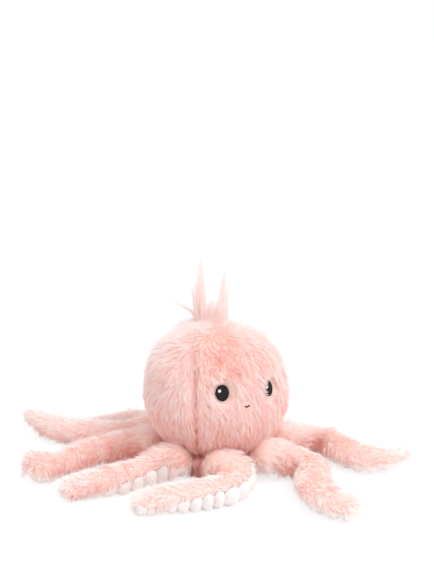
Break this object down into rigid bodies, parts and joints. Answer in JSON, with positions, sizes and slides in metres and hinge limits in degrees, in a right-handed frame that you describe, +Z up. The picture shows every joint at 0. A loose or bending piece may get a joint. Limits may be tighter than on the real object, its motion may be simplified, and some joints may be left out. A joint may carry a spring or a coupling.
{
  "type": "plush octopus",
  "caption": "Soft long-pile toy octopus: a round stuffed head with stitched eyes and mouth and a crown tuft, on curling stuffed arms that lift and bend.",
  "frame": {"origin": "on the floor under the middle of the head, at the centre of the base panel's flat", "axes": "+Z up, the face looks towards -Y, and the toy's own left is +X"},
  "size_m": [0.3636, 0.3803, 0.219],
  "materials": {
    "pink_plush": "long brushed polyester pile, pale pink",
    "pale_minky": "short fuzzy pile, nearly white, gathered in puffs",
    "white_filling": "loose polyester filling",
    "black_thread": "satin stitch",
    "white_thread": "satin stitch",
    "brown_thread": "satin stitch",
    "pale_hair": "long fine straight fibres, nearly white"
  },
  "bodies": {
    "head": {"head_front_panel": "pink_plush", "head_left_panel": "pink_plush", "head_back_panel": "pink_plush", "head_right_panel": "pink_plush", "head_stuffing": "white_filling", "base_panel": "pink_plush", "eye_left": "black_thread", "eye_left_highlight": "white_thread", "eye_right": "black_thread", "eye_right_highlight": "white_thread", "mouth_stitch": "brown_thread", "crown_tuft": "pale_hair"},
    "arm_1_root": {"arm_1_root_cover": "pink_plush", "arm_1_root_underside": "pale_minky", "arm_1_root_stuffing": "white_filling"},
    "arm_1_tip": {"arm_1_tip_cover": "pink_plush", "arm_1_tip_underside": "pale_minky", "arm_1_tip_stuffing": "white_filling"},
    "arm_2_root": {"arm_2_root_cover": "pink_plush", "arm_2_root_underside": "pale_minky", "arm_2_root_stuffing": "white_filling"},
    "arm_2_tip": {"arm_2_tip_cover": "pink_plush", "arm_2_tip_underside": "pale_minky", "arm_2_tip_stuffing": "white_filling"},
    "arm_3_root": {"arm_3_root_cover": "pink_plush", "arm_3_root_underside": "pale_minky", "arm_3_root_stuffing": "white_filling"},
    "arm_3_tip": {"arm_3_tip_cover": "pink_plush", "arm_3_tip_underside": "pale_minky", "arm_3_tip_stuffing": "white_filling"},
    "arm_4_root": {"arm_4_root_cover": "pink_plush", "arm_4_root_underside": "pale_minky", "arm_4_root_stuffing": "white_filling"},
    "arm_4_tip": {"arm_4_tip_cover": "pink_plush", "arm_4_tip_underside": "pale_minky", "arm_4_tip_stuffing": "white_filling"},
    "arm_5_root": {"arm_5_root_cover": "pink_plush", "arm_5_root_underside": "pale_minky", "arm_5_root_stuffing": "white_filling"},
    "arm_5_tip": {"arm_5_tip_cover": "pink_plush", "arm_5_tip_underside": "pale_minky", "arm_5_tip_stuffing": "white_filling"},
    "arm_6_root": {"arm_6_root_cover": "pink_plush", "arm_6_root_underside": "pale_minky", "arm_6_root_stuffing": "white_filling"},
    "arm_6_tip": {"arm_6_tip_cover": "pink_plush", "arm_6_tip_underside": "pale_minky", "arm_6_tip_stuffing": "white_filling"},
    "arm_7_root": {"arm_7_root_cover": "pink_plush", "arm_7_root_underside": "pale_minky", "arm_7_root_stuffing": "white_filling"},
    "arm_7_tip": {"arm_7_tip_cover": "pink_plush", "arm_7_tip_underside": "pale_minky", "arm_7_tip_stuffing": "white_filling"},
    "arm_8_root": {"arm_8_root_cover": "pink_plush", "arm_8_root_underside": "pale_minky", "arm_8_root_stuffing": "white_filling"},
    "arm_8_tip": {"arm_8_tip_cover": "pink_plush", "arm_8_tip_underside": "pale_minky", "arm_8_tip_stuffing": "white_filling"}
  },
  "joints": [
    {"name": "arm_1_root_lift", "type": "hinge", "parent": "head", "child": "arm_1_root", "pos_m": [-0.02507, -0.06052, 0.019], "axis": [-0.9239, 0.3827, 0], "range_deg": [-30, 35]},
    {"name": "arm_1_tip_curl", "type": "hinge", "parent": "arm_1_root", "child": "arm_1_tip", "pos_m": [-0.06533, -0.09763, 0.0136], "axis": [0.1132, 0.9936, 0], "range_deg": [-30, 30]},
    {"name": "arm_2_root_lift", "type": "hinge", "parent": "head", "child": "arm_2_root", "pos_m": [0.02507, -0.06052, 0.019], "axis": [-0.9239, -0.3827, 0], "range_deg": [-30, 35]},
    {"name": "arm_2_tip_curl", "type": "hinge", "parent": "arm_2_root", "child": "arm_2_tip", "pos_m": [0.04305, -0.12221, 0.01389], "axis": [-0.8339, 0.5519, 0], "range_deg": [-30, 30]},
    {"name": "arm_3_root_lift", "type": "hinge", "parent": "head", "child": "arm_3_root", "pos_m": [0.06052, -0.02507, 0.019], "axis": [-0.3827, -0.9239, 0], "range_deg": [-30, 35]},
    {"name": "arm_3_tip_curl", "type": "hinge", "parent": "arm_3_root", "child": "arm_3_tip", "pos_m": [0.11225, -0.06792, 0.01386], "axis": [-0.9997, 0.0262, 0], "range_deg": [-30, 30]},
    {"name": "arm_4_root_lift", "type": "hinge", "parent": "head", "child": "arm_4_root", "pos_m": [0.06052, 0.02507, 0.019], "axis": [0.3827, -0.9239, 0], "range_deg": [-30, 35]},
    {"name": "arm_4_tip_curl", "type": "hinge", "parent": "arm_4_root", "child": "arm_4_tip", "pos_m": [0.10331, 0.08977, 0.01351], "axis": [0.9537, -0.3007, 0], "range_deg": [-30, 30]},
    {"name": "arm_5_root_lift", "type": "hinge", "parent": "head", "child": "arm_5_root", "pos_m": [0.02507, 0.06052, 0.019], "axis": [0.9239, -0.3827, 0], "range_deg": [-30, 35]},
    {"name": "arm_5_tip_curl", "type": "hinge", "parent": "arm_5_root", "child": "arm_5_tip", "pos_m": [-0.03105, 0.1049, 0.01127], "axis": [0.3827, 0.9239, 0], "range_deg": [-30, 30]},
    {"name": "arm_6_root_lift", "type": "hinge", "parent": "head", "child": "arm_6_root", "pos_m": [-0.02507, 0.06052, 0.019], "axis": [0.9239, 0.3827, 0], "range_deg": [-30, 35]},
    {"name": "arm_6_tip_curl", "type": "hinge", "parent": "arm_6_root", "child": "arm_6_tip", "pos_m": [-0.10262, 0.10193, 0.01309], "axis": [0.5807, 0.8141, 0], "range_deg": [-30, 30]},
    {"name": "arm_7_root_lift", "type": "hinge", "parent": "head", "child": "arm_7_root", "pos_m": [-0.06052, 0.02507, 0.019], "axis": [0.3827, 0.9239, 0], "range_deg": [-30, 35]},
    {"name": "arm_7_tip_curl", "type": "hinge", "parent": "arm_7_root", "child": "arm_7_tip", "pos_m": [-0.12295, 0.047, 0.01373], "axis": [-0.1478, 0.989, 0], "range_deg": [-30, 30]},
    {"name": "arm_8_root_lift", "type": "hinge", "parent": "head", "child": "arm_8_root", "pos_m": [-0.06052, -0.02507, 0.019], "axis": [-0.3827, 0.9239, 0], "range_deg": [-30, 35]},
    {"name": "arm_8_tip_curl", "type": "hinge", "parent": "arm_8_root", "child": "arm_8_tip", "pos_m": [-0.12225, -0.0252, 0.01333], "axis": [-0.061, 0.9981, 0], "range_deg": [-30, 30]}
  ]
}
